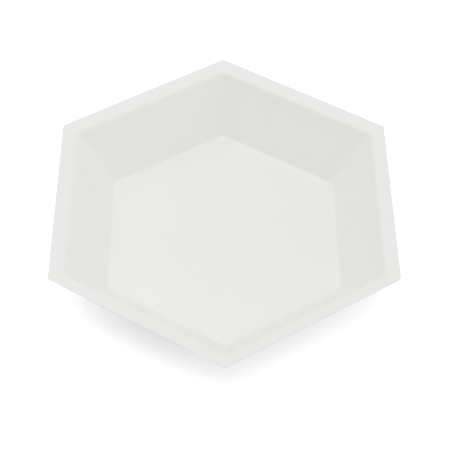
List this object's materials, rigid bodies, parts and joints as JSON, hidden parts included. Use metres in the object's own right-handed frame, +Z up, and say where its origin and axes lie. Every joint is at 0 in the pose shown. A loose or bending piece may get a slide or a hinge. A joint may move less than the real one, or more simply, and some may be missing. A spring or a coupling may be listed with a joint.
{
  "type": "weighing boat",
  "caption": "Shallow hexagonal tray moulded from thin white plastic, with a flat floor, leaning walls and a narrow raised lip, for holding powder or liquid on a balance.",
  "frame": {"origin": "under the middle of the floor, on the surface that the boat stands on", "axes": "+Z up out of the boat's mouth; the Y axis passes through two opposite corners, and the X axis through the middles of two opposite walls"},
  "size_m": [0.1322, 0.1522, 0.0245],
  "materials": {
    "white_sheet": "satin white polystyrene sheet, slightly milky"
  },
  "bodies": {
    "root": {"weighing_boat": "white_sheet"}
  },
  "joints": []
}
